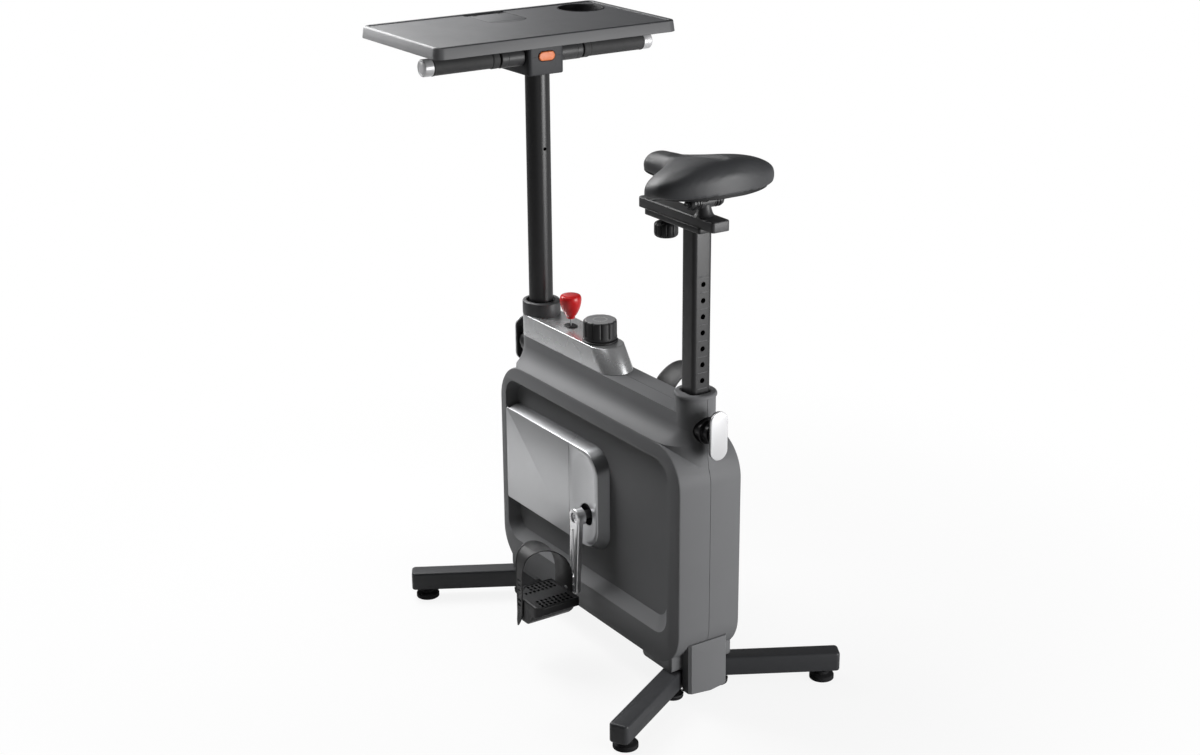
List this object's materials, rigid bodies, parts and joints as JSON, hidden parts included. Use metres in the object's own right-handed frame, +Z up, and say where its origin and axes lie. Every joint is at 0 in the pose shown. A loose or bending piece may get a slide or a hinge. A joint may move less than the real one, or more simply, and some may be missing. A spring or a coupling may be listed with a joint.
{
  "type": "desk exercise bike",
  "caption": "Upright pedal exercise bike with its own height-adjustable sliding desk, square seat post, sliding saddle, strapped pedals and splayed legs with levelling feet.",
  "frame": {"origin": "on the floor, under the middle of the bike's overall length and width", "axes": "+Z up, +X towards the saddle end, -X towards the desk end, -Y the rider's left"},
  "size_m": [0.8793, 0.538, 1.1845],
  "materials": {
    "casing": "dark graphite, satin, moulded",
    "side_cover": "silver, satin",
    "frame_paint": "black, satin powder coat",
    "post_paint": "black, satin",
    "leg_paint": "dark grey, satin",
    "foot_rubber": "black, matt",
    "foot_cover": "mid grey, satin",
    "console": "silver, satin",
    "trim": "black, matt",
    "collar": "dark grey, satin",
    "red_key": "red, gloss",
    "steel": "bright, turned",
    "iron": "dark, cast",
    "belt": "black, ribbed",
    "pulley": "black, moulded",
    "crank": "polished",
    "pedal": "black, moulded",
    "strap": "black, flexible",
    "bracket": "mid grey, satin",
    "orange_button": "coral orange",
    "grip": "black, soft",
    "end_cap": "pale silver",
    "desk": "dark grey, satin",
    "cup": "black",
    "lever": "bright, satin",
    "saddle": "black, smooth"
  },
  "bodies": {
    "frame": {"steel_frame": "frame_paint", "left_shell": "casing", "right_shell": "casing", "left_side_plate": "side_cover", "left_crank_cover": "side_cover", "right_side_plate": "side_cover", "right_crank_cover": "side_cover", "console_housing": "console", "desk_post_collar": "collar", "seat_post_collar": "collar", "front_left_leg": "leg_paint", "front_right_leg": "leg_paint", "rear_left_leg": "leg_paint", "rear_right_leg": "leg_paint", "front_foot_cover": "foot_cover", "rear_foot_cover": "foot_cover", "left_bearing": "steel", "right_bearing": "steel", "flywheel_axle": "steel", "drive_belt": "belt", "brake_cable": "steel", "tension_knob_bezel": "trim", "stop_key_socket": "trim"},
    "crank": {"crank_spindle": "steel", "drive_pulley": "pulley", "left_crank_arm": "crank", "right_crank_arm": "crank", "left_pedal_spindle": "steel", "right_pedal_spindle": "steel"},
    "left_pedal_body": {"left_pedal": "pedal", "left_pedal_strap": "strap"},
    "right_pedal_body": {"right_pedal": "pedal", "right_pedal_strap": "strap"},
    "flywheel_body": {"flywheel": "iron"},
    "idler": {"idler_pulley": "pulley"},
    "yoke": {"magnet_yoke": "steel"},
    "tension_knob_body": {"tension_knob": "trim"},
    "stop_key_body": {"stop_key": "red_key"},
    "front_left_foot_body": {"front_left_foot": "foot_rubber"},
    "front_right_foot_body": {"front_right_foot": "foot_rubber"},
    "rear_left_foot_body": {"rear_left_foot": "foot_rubber"},
    "rear_right_foot_body": {"rear_right_foot": "foot_rubber"},
    "desk_mast": {"desk_post": "post_paint", "head_bracket": "bracket", "handlebar": "post_paint", "left_grip": "grip", "right_grip": "grip", "left_end_cap": "end_cap", "right_end_cap": "end_cap"},
    "button": {"release_button": "orange_button"},
    "desk": {"desk_top": "desk", "cup_holder": "cup"},
    "flap": {"tablet_flap": "desk"},
    "front_pin": {"front_pull_pin": "lever"},
    "rear_pin": {"rear_pull_pin": "lever"},
    "seat_mast": {"seat_post": "post_paint"},
    "seat_slide": {"slide_bar": "post_paint"},
    "clamp_knob": {"slider_knob": "trim"},
    "saddle_body": {"saddle_clamp": "post_paint", "saddle": "saddle"}
  },
  "joints": [
    {"name": "desk_post_slide", "type": "slide", "parent": "frame", "child": "desk_mast", "axis": [0, 0, 1], "range_m": [-0.24, 0.09]},
    {"name": "button_push", "type": "slide", "parent": "desk_mast", "child": "button", "axis": [-1, 0, 0], "range_m": [0, 0.004], "stiffness_N_per_m": 600},
    {"name": "desk_slide", "type": "slide", "parent": "desk_mast", "child": "desk", "axis": [1, 0, 0], "range_m": [0, 0.08]},
    {"name": "flap_hinge", "type": "hinge", "parent": "desk", "child": "flap", "pos_m": [-0.4105, 0, 1.183], "axis": [0, -1, 0], "range_deg": [0, 75]},
    {"name": "front_pin_slide", "type": "slide", "parent": "frame", "child": "front_pin", "axis": [-1, 0, 0], "range_m": [-0.004, 0.006]},
    {"name": "rear_pin_slide", "type": "slide", "parent": "frame", "child": "rear_pin", "axis": [1, 0, 0], "range_m": [-0.004, 0.006]},
    {"name": "seat_post_slide", "type": "slide", "parent": "frame", "child": "seat_mast", "axis": [0, 0, 1], "range_m": [-0.27, 0.09]},
    {"name": "seat_slide_fore_aft", "type": "slide", "parent": "seat_mast", "child": "seat_slide", "axis": [1, 0, 0], "range_m": [-0.04, 0.04]},
    {"name": "clamp_knob_turn", "type": "hinge", "parent": "seat_mast", "child": "clamp_knob", "pos_m": [0.2085, 0, 0.8705], "axis": [0, 0, 1], "range_deg": [-180, 180]},
    {"name": "saddle_tilt", "type": "hinge", "parent": "seat_slide", "child": "saddle_body", "pos_m": [0.3225, 0, 0.96], "axis": [0, 1, 0], "range_deg": [-12, 12]},
    {"name": "tension_knob_turn", "type": "hinge", "parent": "frame", "child": "tension_knob_body", "pos_m": [-0.0085, 0, 0.617], "axis": [0, 0, 1], "range_deg": [0, 300]},
    {"name": "yoke_swing", "type": "hinge", "parent": "frame", "child": "yoke", "pos_m": [0.01493, 0, 0.35457], "axis": [0, 1, 0], "range_deg": [0, 3.6]},
    {"name": "stop_key_push", "type": "slide", "parent": "frame", "child": "stop_key_body", "axis": [0, 0, -1], "range_m": [0, 0.008], "stiffness_N_per_m": 400},
    {"name": "crank_spin", "type": "hinge", "parent": "frame", "child": "crank", "pos_m": [0.0395, 0, 0.28], "axis": [0, 1, 0], "continuous": true},
    {"name": "left_pedal_spin", "type": "hinge", "parent": "crank", "child": "left_pedal_body", "pos_m": [0.0395, -0.16, 0.13], "axis": [0, 1, 0], "continuous": true},
    {"name": "right_pedal_spin", "type": "hinge", "parent": "crank", "child": "right_pedal_body", "pos_m": [0.0395, 0.16, 0.43], "axis": [0, 1, 0], "continuous": true},
    {"name": "flywheel_spin", "type": "hinge", "parent": "frame", "child": "flywheel_body", "pos_m": [-0.0825, 0, 0.4], "axis": [0, 1, 0], "continuous": true},
    {"name": "idler_spin", "type": "hinge", "parent": "frame", "child": "idler", "pos_m": [-0.09094, 0, 0.31847], "axis": [0, 1, 0], "continuous": true},
    {"name": "front_left_foot_screw", "type": "slide", "parent": "frame", "child": "front_left_foot_body", "axis": [0, 0, 1], "range_m": [-0.01, 0.003]},
    {"name": "front_right_foot_screw", "type": "slide", "parent": "frame", "child": "front_right_foot_body", "axis": [0, 0, 1], "range_m": [-0.01, 0.003]},
    {"name": "rear_left_foot_screw", "type": "slide", "parent": "frame", "child": "rear_left_foot_body", "axis": [0, 0, 1], "range_m": [-0.01, 0.003]},
    {"name": "rear_right_foot_screw", "type": "slide", "parent": "frame", "child": "rear_right_foot_body", "axis": [0, 0, 1], "range_m": [-0.01, 0.003]}
  ],
  "couplings": [
    {"joint": "crank_spin", "follows": "flywheel_spin", "ratio": 0.14737},
    {"joint": "idler_spin", "follows": "flywheel_spin", "ratio": -1},
    {"joint": "yoke_swing", "follows": "tension_knob_turn", "ratio": 0.0118}
  ]
}
